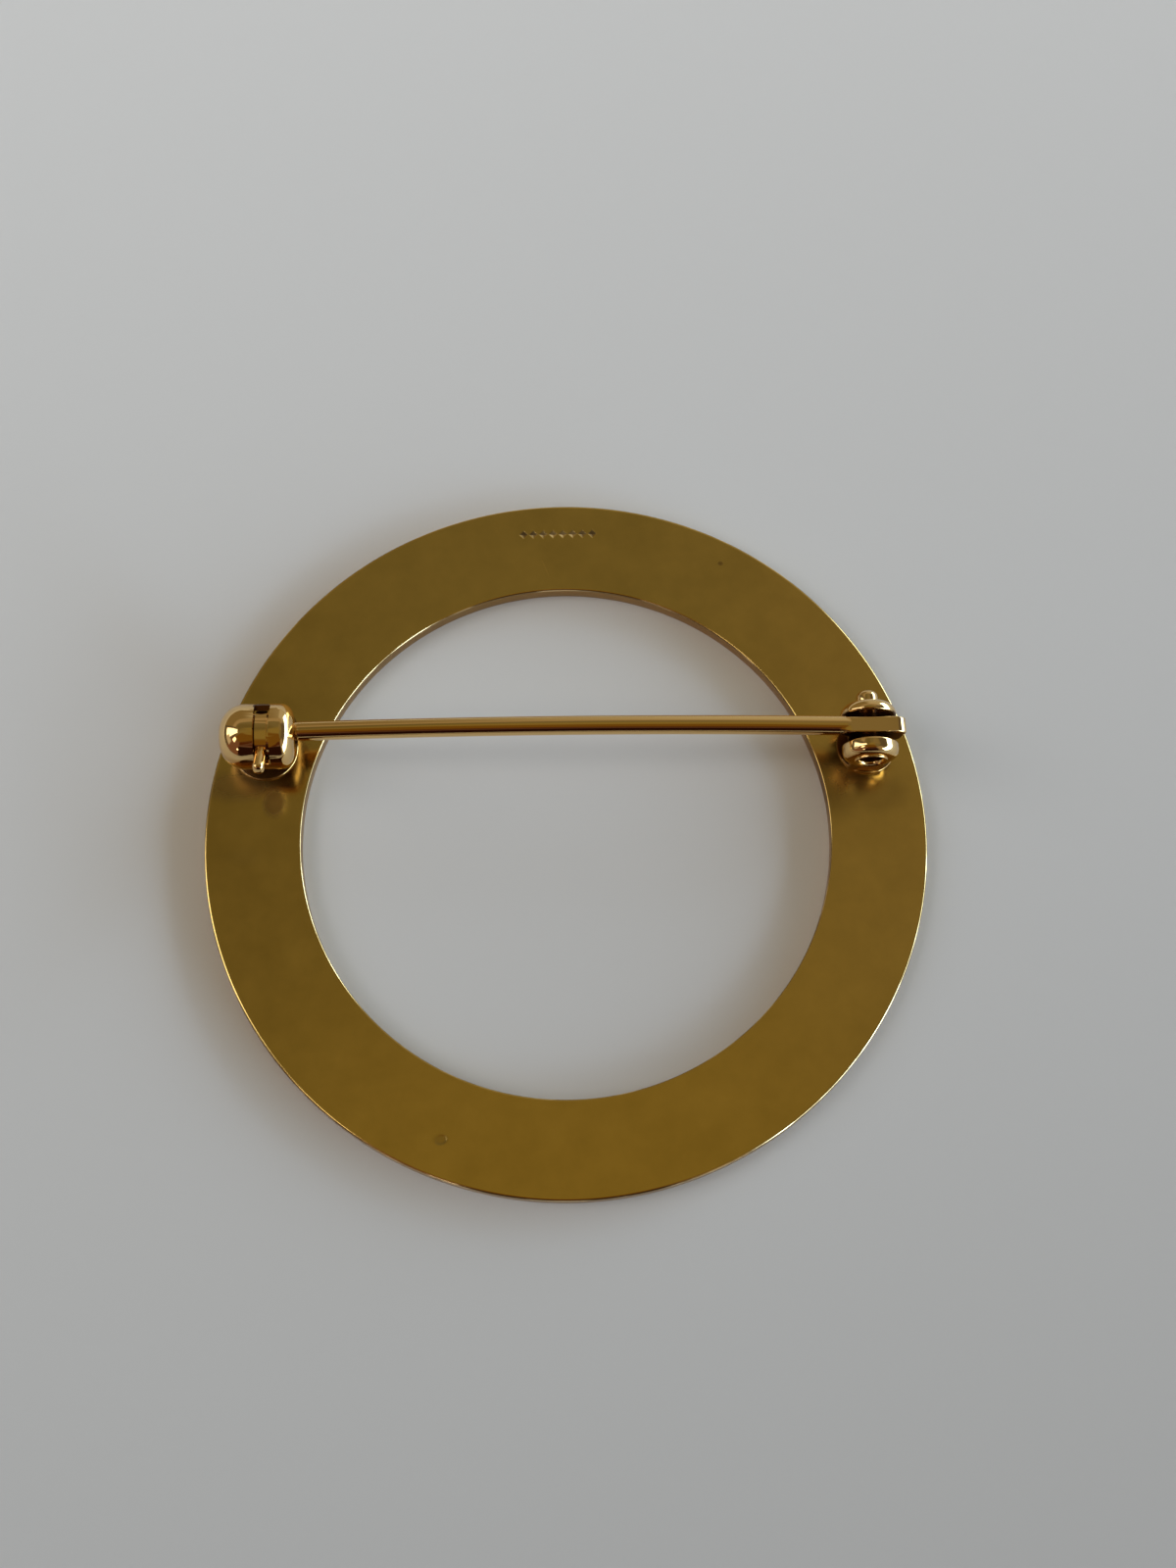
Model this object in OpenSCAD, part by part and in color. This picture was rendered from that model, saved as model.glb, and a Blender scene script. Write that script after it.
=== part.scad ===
// Circle brooch lying on its face: a flat ring with a riveted pin and a safety catch on its back.
// Millimetres. +Z up, origin on the ring's axis in the plane that it rests on.

/* [Ring] */
// outside diameter of the ring
ring_d = 40; // [39:0.5:42]
// width of the flat band
band_w = 5.33; // [5:0.01:5.8]
// thickness of the band
ring_t = 1; // [0.8:0.05:1.4]
// width of the bevel along each edge
edge_bevel = 0.15; // [0.05:0.01:0.25]

/* [Pin joint] */
// place of the rivet along the pin, from the ring's axis
joint_x = 16.79; // [16.7:0.01:16.9]
// place of the middle between the ears, across the pin
joint_y = 4.91; // [4.5:0.01:5.2]
// height of the rivet above the ring's back
rivet_h = 2.3; // [2.3:0.01:2.5]
// radius of the round ears
ear_r = 1.54; // [1.45:0.01:1.6]
// thickness of the near ear, which holds the sunk end
ear_t = 0.88; // [0.8:0.01:1]
// thickness of the far ear, under the button head
ear_far_t = 0.72; // [0.7:0.01:0.8]
// space between the ears
ear_gap = 1.58; // [1.5:0.01:1.6]
// rounding of the ears' outside edges
ear_round = 0.38; // [0.2:0.01:0.45]
// rounding of the ears' inside edges
ear_inner = 0.12; // [0.08:0.01:0.2]
// thickness of the base plate under the ears
base_t = 0.14; // [0.1:0.01:0.2]
// radius of the round base plate
base_r = 1.65; // [1.58:0.01:1.7]

/* [Rivet] */
// radius of the rivet's shaft
rivet_r = 0.45; // [0.38:0.01:0.48]
// play between the rivet and the ears
rivet_play = 0.05; // [0.03:0.01:0.08]
// radius of the button head
head_r = 0.59; // [0.56:0.01:0.75]
// length of the button head
head_l = 0.74; // [0.6:0.01:0.85]
// radius of the sunk end's recess
recess_r = 0.64; // [0.62:0.01:0.68]
// depth of the sunk end's recess
recess_depth = 0.5; // [0.44:0.01:0.55]
// radius of the recess's flared mouth
flare_r = 0.84; // [0.7:0.01:0.86]

/* [Pin stem] */
// radius of the stem
stem_r = 0.53; // [0.5:0.005:0.54]
// height of the stem's axis at the joint, above the ring's back
stem_h = 3; // [2.97:0.01:3.03]
// height of the stem's axis where the point starts, above the ring's back
stem_low = 2.4; // [2.37:0.01:2.43]
// sideways place of the stem's axis at the catch, from the barrel's axis
stem_side = 0.21; // [0.15:0.01:0.24]
// how far the stem bows up and back in its middle
bow = 0.28; // [0.15:0.01:0.3]
// thickness of the flat tang
tang_t = 0.88; // [0.85:0.01:0.9]
// height of the tang above the rivet's axis
tang_top = 1.2; // [1.15:0.01:1.2]
// reach of the tang's tail behind the rivet
tail_l = 1.92; // [1.8:0.01:1.93]
// length of the tapered point
point_l = 3.9; // [3.7:0.05:4]

/* [Catch] */
// place of the barrel's rounded end that the stem enters, from the ring's axis
mouth_x = -14.77; // [-15:0.01:-14.6]
// length of the barrel
barrel_l = 4.16; // [4.1:0.01:4.2]
// place of the barrel's axis across the pin
barrel_y = 5.24; // [5.15:0.01:5.3]
// height of the barrel's axis above the ring's back
barrel_h = 2.25; // [2.22:0.01:2.3]
// outside radius of the barrel
barrel_r = 1.8; // [1.76:0.01:1.84]
// wall between the bore and the outside
barrel_wall = 0.3; // [0.28:0.01:0.32]
// radius of the round base plate
foot_r = 1.82; // [1.7:0.01:1.9]
// thickness of the base plate
foot_t = 0.14; // [0.1:0.01:0.25]
// radius of the dome's curve at the closed end
dome_r = 1.35; // [1.2:0.01:1.4]
// radius of the curve at the open end
lip_r = 0.75; // [0.6:0.01:0.78]
// height of the mouth that the stem slips out of
mouth_gap = 1.3; // [1.26:0.01:1.34]
// width of the slot that the lever moves in
slot_w = 0.86; // [0.84:0.01:0.9]
// place of the slot's middle, from the open end
slot_back = 1.7; // [1.65:0.01:1.75]

/* [Rotor] */
// play between the rotor's sleeve and the bore
sleeve_play = 0.05; // [0.03:0.01:0.08]
// inside radius of the sleeve
sleeve_r = 0.85; // [0.82:0.01:0.9]
// width of the band and the lever
band_l = 0.62; // [0.56:0.01:0.64]
// depth of the sleeve's surface below its band and collars
band_step = 0.17; // [0.1:0.01:0.2]
// reach of the lever from the barrel's axis
lever_l = 2.98; // [2.7:0.01:3.1]
// angle of the lever above the level line, as it rests
lever_angle = 33; // [29:1:35]
// half thickness of the lever where it leaves the band
lever_root = 0.42; // [0.35:0.01:0.45]
// half thickness of the lever at its tip
lever_tip = 0.35; // [0.25:0.01:0.42]

/* [Quality] */
// segments in a full turn
smoothness = 96; // [48:8:144]

/* [Hidden] */
$fn = smoothness;
ring_r = ring_d / 2;
hole_r = ring_r - band_w;
rivet_z = ring_t + rivet_h;
base_x = joint_x + 0.15;
base_y = joint_y - 0.08;
ear_near = joint_y - ear_gap / 2 - ear_t;
ear_far = joint_y + ear_gap / 2;
sunk_y = ear_near + 0.32;
tang_y = joint_y + 0.02;
barrel_z = ring_t + barrel_h;
bore_r = barrel_r - barrel_wall;
far_x = mouth_x - barrel_l;
end_wall = 0.42;
bore_far = far_x + dome_r - 0.17;
slot_x = mouth_x - slot_back;
slot_from = lever_angle - 20;
slot_to = 142;
band_x = slot_x - band_l / 2 - 0.06;
foot_x = mouth_x - barrel_l / 2 + 0.1;
gap_from = 143;
gap_to = 225;
band_to = 157;
sleeve_far = bore_far + 0.06;
sleeve_l = mouth_x - end_wall - 0.06 - sleeve_far;
collar_l = 0.5;
band_out = bore_r - sleeve_play;
sleeve_out = band_out - band_step;
stem_from = [joint_x - 1.19, tang_y + 0.08, ring_t + stem_h];
stem_to = [mouth_x + 0.77, barrel_y + stem_side, ring_t + stem_low];
stem_chord = norm(stem_to - stem_from);
bow_r = stem_chord * stem_chord / (8 * bow) + bow / 2;
bow_turn = 2 * asin(stem_chord / (2 * bow_r));
bow_tilt = 20;
full_r = stem_r - 0.005;
stem_lean = atan((stem_to[1] - stem_from[1]) / (stem_from[0] - stem_to[0]));
stem_drop = asin((stem_from[2] - stem_to[2]) / stem_chord);

// a disc about the level line across the pin, from y0 to y0 + t, with its two edges rounded
module disc_across(r, t, y0, near_round, far_round) {
    translate([joint_x, y0, rivet_z])
        rotate([-90, 0, 0])
            rotate_extrude() {
                square([r - near_round, t]);
                translate([0, near_round])
                    square([r - far_round, t - near_round]);
                translate([0, near_round])
                    square([r, t - near_round - far_round]);
                translate([r - near_round, near_round])
                    intersection() {
                        circle(r = near_round);
                        translate([0, -near_round])
                            square(near_round);
                    }
                translate([r - far_round, t - far_round])
                    intersection() {
                        circle(r = far_round);
                        square(far_round);
                    }
            }
}

// a round bar across the pin about the rivet's axis, from y0 to y1
module bar_across(r, y0, y1) {
    translate([joint_x, y0, rivet_z])
        rotate([-90, 0, 0])
            cylinder(r = r, h = y1 - y0);
}

// a round bar along the barrel's axis, from x0 to x1
module bar_along(r, x0, x1) {
    translate([x0, barrel_y, barrel_z])
        rotate([0, 90, 0])
            cylinder(r = r, h = x1 - x0);
}

// part of a tube about the barrel's axis, from x0 to x0 + l. Angles run from the near side up and over
module sector_along(r0, r1, x0, l, from, to) {
    translate([x0 + l, barrel_y, barrel_z])
        rotate([0, -90, 0])
            rotate([0, 0, from - 90])
                rotate_extrude(angle = to - from)
                    translate([r0, 0])
                        square([r1 - r0, l]);
}

module ring_band() {
    rotate_extrude()
        polygon([
            [hole_r + edge_bevel, 0],
            [ring_r - edge_bevel, 0],
            [ring_r, edge_bevel],
            [ring_r, ring_t - edge_bevel],
            [ring_r - edge_bevel, ring_t],
            [hole_r + edge_bevel, ring_t],
            [hole_r, ring_t - edge_bevel],
            [hole_r, edge_bevel]
        ]);
}

module pin_joint() {
    // base plate, let into the ring's back as solder lets it
    translate([base_x, base_y, ring_t - 0.2])
        cylinder(r = base_r, h = base_t + 0.2);
    difference() {
        union() {
            disc_across(ear_r, ear_t, ear_near, ear_round, ear_inner);
            disc_across(ear_r, ear_far_t, ear_far, ear_inner, ear_round);
            // neck under each ear
            translate([joint_x - 0.95, ear_near + 0.12, ring_t - 0.1])
                cube([1.9, ear_t - 0.18, 1.2]);
            translate([joint_x - 0.95, ear_far + 0.06, ring_t - 0.1])
                cube([1.9, ear_far_t - 0.18, 1.2]);
            // raised rim round the sunk end
            bar_across(flare_r + 0.08, ear_near - 0.1, ear_near + 0.3);
        }
        bar_across(rivet_r + rivet_play, ear_near - 1, ear_far + ear_far_t + 1);
        bar_across(recess_r, ear_near - 1, ear_near + recess_depth);
        // flare
        translate([joint_x, ear_near - 0.1, rivet_z])
            rotate([-90, 0, 0])
                cylinder(r1 = flare_r, r2 = recess_r, h = 0.2);
    }
}

module barrel_outside() {
    translate([mouth_x, barrel_y, barrel_z])
        rotate([0, -90, 0])
            rotate_extrude() {
                square([barrel_r - dome_r, barrel_l]);
                square([barrel_r - lip_r, barrel_l - dome_r]);
                translate([0, lip_r])
                    square([barrel_r, barrel_l - lip_r - dome_r]);
                translate([barrel_r - lip_r, lip_r])
                    intersection() {
                        circle(r = lip_r);
                        translate([0, -lip_r])
                            square(lip_r);
                    }
                translate([barrel_r - dome_r, barrel_l - dome_r])
                    intersection() {
                        circle(r = dome_r);
                        square(dome_r);
                    }
            }
}

module catch_housing() {
    difference() {
        union() {
            barrel_outside();
            // pedestal and round base plate
            translate([far_x + 0.85, barrel_y - 0.75, ring_t - 0.2])
                cube([barrel_l - 1.6, 1.5, barrel_h - bore_r + 0.13]);
            translate([foot_x, barrel_y, ring_t - 0.2])
                cylinder(r = foot_r, h = foot_t + 0.2);
        }
        // bore, with a smaller pocket for the point
        bar_along(bore_r, bore_far, mouth_x - end_wall);
        bar_along(0.62, far_x + 0.62, bore_far + 0.1);
        // hole for the stem in the end wall
        bar_along(mouth_gap / 2, mouth_x - 1, mouth_x + 1);
        // mouth on the far side
        translate([far_x + 0.62, barrel_y, barrel_z - mouth_gap / 2])
            cube([barrel_l + 1, barrel_r + 1, mouth_gap]);
        // slot that the lever moves in
        sector_along(bore_r - 0.1, barrel_r + 0.5, slot_x - slot_w / 2, slot_w, slot_from, slot_to);
    }
}

module brooch_frame() {
    color("#8c7434")
        union() {
            ring_band();
            pin_joint();
            catch_housing();
        }
}

module rivet() {
    color("#7d662c")
        union() {
            bar_across(rivet_r, sunk_y, ear_far + ear_far_t + head_l - 0.1);
            // spread end in the recess
            bar_across(recess_r - 0.08, sunk_y, ear_near + recess_depth - 0.04);
            // button head
            disc_across(head_r, head_l, ear_far + ear_far_t + 0.04, 0.05, 0.3);
        }
}

module pin_stem() {
    color("#97803c")
        difference() {
            union() {
                // round wire, bowed as a sprung pin is, with its tapered point
                translate(stem_from)
                    rotate([0, 0, -stem_lean])
                        rotate([0, -stem_drop, 0])
                            translate([-stem_chord / 2, 0, 0])
                                rotate([90 - bow_tilt, 0, 0])
                                    translate([0, bow - bow_r, 0]) {
                                        rotate([0, 0, 90 - bow_turn / 2])
                                            rotate_extrude(angle = bow_turn)
                                                translate([bow_r, 0])
                                                    circle(r = stem_r);
                                        rotate([0, 0, 90 + bow_turn / 2])
                                            translate([bow_r, -0.2, 0])
                                                rotate([-90, 0, 0])
                                                    cylinder(r1 = full_r, r2 = 0.06, h = point_l + 0.2);
                                        // shoulder that dies into the tang
                                        rotate([0, 0, 90 - bow_turn / 2])
                                            translate([bow_r, 0.2, 0])
                                                rotate([90, 0, 0])
                                                    cylinder(r1 = full_r, r2 = 0.36, h = 0.9);
                                    }
                // flat tang: neck, eye and tail
                translate([joint_x, tang_y + tang_t / 2, rivet_z])
                    rotate([90, 0, 0])
                        linear_extrude(tang_t) {
                            circle(r = tang_top);
                            translate([-1.45, stem_h - rivet_h - 0.42])
                                square([1.45, tang_top - stem_h + rivet_h + 0.42]);
                            polygon([
                                [0, -0.34],
                                [tail_l - 0.42, -0.34],
                                [tail_l - 0.24, -0.14],
                                [tail_l, tang_top - 0.4],
                                [tail_l - 0.35, tang_top],
                                [0, tang_top]
                            ]);
                        }
            }
            bar_across(rivet_r + 0.09, ear_near, ear_far + ear_far_t);
        }
}

module catch_rotor() {
    color("#93793a")
        union() {
            // open sleeve in the bore
            sector_along(sleeve_r, sleeve_out, sleeve_far, sleeve_l, gap_to - 360, gap_from);
            // collar at each end
            for (x = [sleeve_far, sleeve_far + sleeve_l - collar_l])
                sector_along(sleeve_out - 0.2, band_out, x, collar_l, gap_to - 360, gap_from);
            // band that shows in the slot
            sector_along(sleeve_r, band_out, band_x, band_l, gap_to - 360, band_to);
            // thumb lever
            translate([band_x + band_l, barrel_y, barrel_z])
                rotate([0, -90, 0])
                    rotate([0, 0, lever_angle - 90])
                        linear_extrude(band_l)
                            polygon([
                                [sleeve_out - 0.1, -lever_root],
                                [lever_l - 0.12, -lever_tip],
                                [lever_l, -lever_tip + 0.12],
                                [lever_l, lever_tip - 0.12],
                                [lever_l - 0.12, lever_tip],
                                [sleeve_out - 0.1, lever_root]
                            ]);
        }
}

brooch_frame();
rivet();
pin_stem();
catch_rotor();
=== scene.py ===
"""Looks of a circle brooch that lies on its face: ring, pin joint, rivet, pin stem and safety catch."""

import logging
import math
from dataclasses import dataclass, field
from enum import Enum
from typing import Mapping, Optional, Sequence, Union

import bmesh
import bpy
from mathutils import Matrix, Vector


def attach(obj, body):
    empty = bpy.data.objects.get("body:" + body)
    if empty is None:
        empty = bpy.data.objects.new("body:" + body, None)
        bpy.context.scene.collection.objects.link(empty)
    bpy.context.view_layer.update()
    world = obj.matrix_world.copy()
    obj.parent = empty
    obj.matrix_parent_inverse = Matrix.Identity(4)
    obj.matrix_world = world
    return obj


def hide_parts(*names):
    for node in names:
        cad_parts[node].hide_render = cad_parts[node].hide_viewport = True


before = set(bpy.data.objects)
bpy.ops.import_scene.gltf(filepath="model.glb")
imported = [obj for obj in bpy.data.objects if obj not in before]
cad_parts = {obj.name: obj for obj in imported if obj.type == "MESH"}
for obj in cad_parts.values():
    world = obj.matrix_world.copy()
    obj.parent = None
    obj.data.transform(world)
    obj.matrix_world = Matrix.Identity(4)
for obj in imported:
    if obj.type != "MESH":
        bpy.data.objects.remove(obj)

LOG = logging.getLogger("brooch")
MM = 0.001
Point = tuple[float, float]
Triple = tuple[float, float, float]
Socket = bpy.types.NodeSocket
Solid = bpy.types.Object
Feed = Union[float, Triple, Socket]


class Slot(Enum):
    """The record's material slots."""

    SATIN = "gold_satin"
    POLISHED = "gold_polished"


class Body(Enum):
    """The bodies that the pieces ride on."""

    FRAME = "frame"
    PIVOT = "pivot"
    PIN = "pin"
    ROTOR = "rotor"


# Node trees


class Graph:
    """A small writer for shader and geometry node trees."""

    def __init__(self, tree: bpy.types.NodeTree, coordinates: str = "") -> None:
        """Start on an empty tree.

        Args:
            tree: The node tree to add to.
            coordinates: The coordinates that its patterns are laid on, if it has any.
        """
        self.tree = tree
        self.tree.nodes.clear()
        self.where: Optional[Socket] = None
        if coordinates:
            self.where = self.node("ShaderNodeTexCoord").outputs[coordinates]

    def node(self, kind: str, feeds: Optional[dict] = None, **settings: object) -> bpy.types.Node:
        """Add a node.

        Args:
            kind: The node's type name.
            feeds: What each input gets, by the input's name or number.
            settings: Attributes to set on the node.

        Returns:
            The new node.
        """
        made = self.tree.nodes.new(kind)
        for key, value in settings.items():
            setattr(made, key, value)
        for key, value in (feeds or {}).items():
            socket = made.inputs[key]
            if isinstance(value, bpy.types.NodeSocket):
                self.tree.links.new(value, socket)
            elif socket.type == "RGBA":
                socket.default_value = (*value, 1.0)
            else:
                socket.default_value = value
        return made

    def math(self, operation: str, a: Feed, b: Feed = 0.0) -> Socket:
        """The result of a Math node's operation on one or two numbers."""
        return self.node("ShaderNodeMath", {0: a, 1: b}, operation=operation).outputs[0]

    def blend(self, share: Feed, a: Feed, b: Feed, kind: str = "RGBA") -> Socket:
        """Two colours (RGBA) or two numbers (FLOAT) blended, with a share of one for the second."""
        first, out = (6, 2) if kind == "RGBA" else (2, 0)
        return self.node("ShaderNodeMix", {0: share, first: a, first + 1: b}, data_type=kind).outputs[out]

    def step(self, value: Socket, low: float, high: float, before: float, after: float) -> Socket:
        """A smooth step from one result to another, where a value passes from low to high."""
        feeds = {"Value": value, "From Min": low, "From Max": high, "To Min": before, "To Max": after}
        return self.node("ShaderNodeMapRange", feeds, interpolation_type="SMOOTHSTEP").outputs[0]

    def noise(self, scale: float, detail: float, rough: float = 0.5) -> Socket:
        """A cloudy pattern, by its clouds in a metre, its finer layers and how rough they are."""
        feeds = {"Vector": self.where, "Scale": scale, "Detail": detail, "Roughness": rough}
        return self.node("ShaderNodeTexNoise", feeds).outputs[0]

    def place(self, middle: Triple, reach: Triple, turn: float = 0.0) -> Socket:
        """Measure from a place's middle, with its edge at one.

        Args:
            middle: The place's middle, in millimetres.
            reach: Half its size along each axis, in millimetres.
            turn: Its turn about Z, in degrees.

        Returns:
            The place's own coordinates.
        """
        feeds = {
            "Vector": self.where,
            "Location": [v * MM for v in middle],
            "Rotation": (0.0, 0.0, math.radians(turn)),
            "Scale": [v * MM for v in reach],
        }
        return self.node("ShaderNodeMapping", feeds, vector_type="TEXTURE").outputs[0]

    def split(self, vector: Socket) -> Sequence[Socket]:
        """The three parts of a vector."""
        return self.node("ShaderNodeSeparateXYZ", {0: vector}).outputs

    def vector(self, x: Feed, y: Feed, z: Feed) -> Socket:
        """Three numbers joined into a vector."""
        return self.node("ShaderNodeCombineXYZ", {0: x, 1: y, 2: z}).outputs[0]

    def length(self, vector: Socket) -> Socket:
        """The length of a vector."""
        return self.node("ShaderNodeVectorMath", {0: vector}, operation="LENGTH").outputs["Value"]


# Finishes


@dataclass(frozen=True)
class Mark:
    """A small worn place on the ring's back.

    Attributes:
        x: Its middle, in millimetres.
        y: Its middle, in millimetres.
        long: Half its length, in millimetres.
        wide: Half its width, in millimetres.
        turn: The angle of its length from +X, in degrees.
        depth: How deep it looks.
    """

    x: float
    y: float
    long: float
    wide: float
    turn: float
    depth: float

    def relief(self, g: Graph) -> Socket:
        """Make the mark's relief.

        Args:
            g: The graph to add to.

        Returns:
            The relief, zero away from the mark.
        """
        any_height = 1000.0
        place = g.place((self.x, self.y, 0.0), (self.long, self.wide, any_height), self.turn)
        return g.step(g.length(place), 0.6, 1.1, -self.depth, 0.0)


@dataclass(frozen=True)
class ShadeAndStain:
    """A dark patch on the metal, used both for painted shade where the pieces shade each other and for real
    stains.

    Attributes:
        middle: Its middle, in millimetres.
        reach: Half its size along each axis, in millimetres.
        boxed: Whether it fills a box rather than a rounded space.
        strength: How dark it is, from zero to one.
        soft: How far its edge fades, as a share of its reach.
    """

    middle: Triple
    reach: Triple
    boxed: bool = True
    strength: float = 1.0
    soft: float = 0.16

    def mask(self, g: Graph) -> Socket:
        """Make the mask of the dark place.

        Args:
            g: The graph to add to.

        Returns:
            The mask, as strong as the place is dark inside and zero away from it.
        """
        far = g.place(self.middle, self.reach)
        if self.boxed:
            x, y, z = g.split(g.node("ShaderNodeVectorMath", {0: far}, operation="ABSOLUTE").outputs[0])
            far = g.math("MAXIMUM", g.math("MAXIMUM", x, y), z)
        else:
            far = g.length(far)
        half = self.soft / 2.0
        return g.step(far, 1.0 - half, 1.0 + half, self.strength, 0.0)


@dataclass(frozen=True)
class GoldFinish:
    """A gold surface.

    Attributes:
        name: The material's name.
        tint: The metal's reflection colour.
        roughness: How soft its reflections are.
        mottle: How much its roughness and colour vary from place to place.
        grain: How strong its fine ripple is.
        marks: Worn places on it.
        shade_and_stain_spots: Dark patches: painted shade in its recesses and under its fittings, and real
            stains.
        dark: The colour of those places.
        edge: The reflection colour of polished edges, if they differ.
        edge_worn: The same where the polish is worn off.
        edge_roughness: How soft the reflections of those edges are.
        edge_top: The height below which they start, in millimetres.
        side: The reflection colour of the dull sides under the edges.
        side_roughness: How soft the sides' reflections are.
        side_top: The height below which the sides start, in millimetres.
    """

    name: str
    tint: Triple
    roughness: float
    mottle: float = 0.0
    grain: float = 0.0
    marks: tuple[Mark, ...] = ()
    shade_and_stain_spots: tuple[ShadeAndStain, ...] = ()
    dark: Triple = (0.09, 0.03, 0.006)
    edge: Optional[Triple] = None
    edge_worn: Triple = (0.3, 0.2, 0.09)
    edge_roughness: float = 0.06
    edge_top: float = 0.99
    side: Triple = (0.42, 0.24, 0.07)
    side_roughness: float = 0.3
    side_top: float = 0.86

    def make(self) -> bpy.types.Material:
        """Build the material.

        Returns:
            The material.
        """
        made = bpy.data.materials.new(self.name)
        made.use_nodes = True
        g = Graph(made.node_tree, "Object")
        color, rough = self.tint, self.roughness
        if self.mottle:
            color, rough = self._mottled(g)
        if self.edge:
            color, rough = self._edged(g, color, rough)
        # Painted shade in the recesses and under the fittings, and real stains, as dark patches.
        if self.shade_and_stain_spots:
            color, rough = self._darkened(g, color, rough)
        feeds = {"Metallic": 1.0, "Base Color": color, "Roughness": rough, "Normal": self._relief(g)}
        metal = g.node("ShaderNodeBsdfPrincipled", feeds)
        g.node("ShaderNodeOutputMaterial", {"Surface": metal.outputs[0]})
        return made

    def _mottled(self, g: Graph) -> tuple[Feed, Feed]:
        """Vary the colour and the roughness.

        Args:
            g: The graph to add to.

        Returns:
            The colour and the roughness.
        """
        broad = g.noise(420.0, 5.0, 0.62)
        low = tuple(c * (1.0 - self.mottle) for c in self.tint)
        high = tuple(min(1.0, c * (1.0 + self.mottle)) for c in self.tint)
        rough = g.math("MULTIPLY", broad, self.mottle * 0.5)
        return g.blend(broad, low, high), g.math("ADD", rough, self.roughness - self.mottle * 0.25)

    def _edged(self, g: Graph, color: Feed, rough: Feed) -> tuple[Feed, Feed]:
        """Brighten the edges below the flat back in patches, and dull the sides under them.

        Args:
            g: The graph to add to.
            color: The colour so far.
            rough: The roughness so far.

        Returns:
            The colour and the roughness.
        """
        fade = 0.02
        height = g.split(g.where)[2]
        patches = g.step(g.noise(330.0, 6.0), 0.46, 0.62, 0.0, 1.0)
        edge = g.blend(patches, self.edge_worn, self.edge)
        for top, tint, softness in (
            (self.edge_top, edge, self.edge_roughness),
            (self.side_top, self.side, self.side_roughness),
        ):
            below = g.step(height, (top - fade) * MM, top * MM, 1.0, 0.0)
            color = g.blend(below, color, tint)
            rough = g.blend(below, rough, softness, "FLOAT")
        return color, rough

    def _darkened(self, g: Graph, color: Feed, rough: Feed) -> tuple[Feed, Feed]:
        """Dull and darken the dark patches: painted shade in the recesses and under the fittings, and real
        stains.

        Args:
            g: The graph to add to.
            color: The colour so far.
            rough: The roughness so far.

        Returns:
            The colour and the roughness.
        """
        share = self.shade_and_stain_spots[0].mask(g)
        for spot in self.shade_and_stain_spots[1:]:
            share = g.math("MAXIMUM", share, spot.mask(g))
        rougher = g.math("MULTIPLY", share, 0.25)
        return g.blend(share, color, self.dark), g.math("ADD", rougher, rough)

    def _relief(self, g: Graph) -> Socket:
        """Make the fine ripple and the marks as relief.

        Args:
            g: The graph to add to.

        Returns:
            The surface's normal.
        """
        height = g.math("MULTIPLY", g.noise(1500.0, 4.0), self.grain)
        for mark in self.marks:
            height = g.math("ADD", height, mark.relief(g))
        feeds = {"Strength": 1.0, "Distance": 0.05 * MM, "Height": height}
        return g.node("ShaderNodeBump", feeds).outputs[0]


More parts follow.
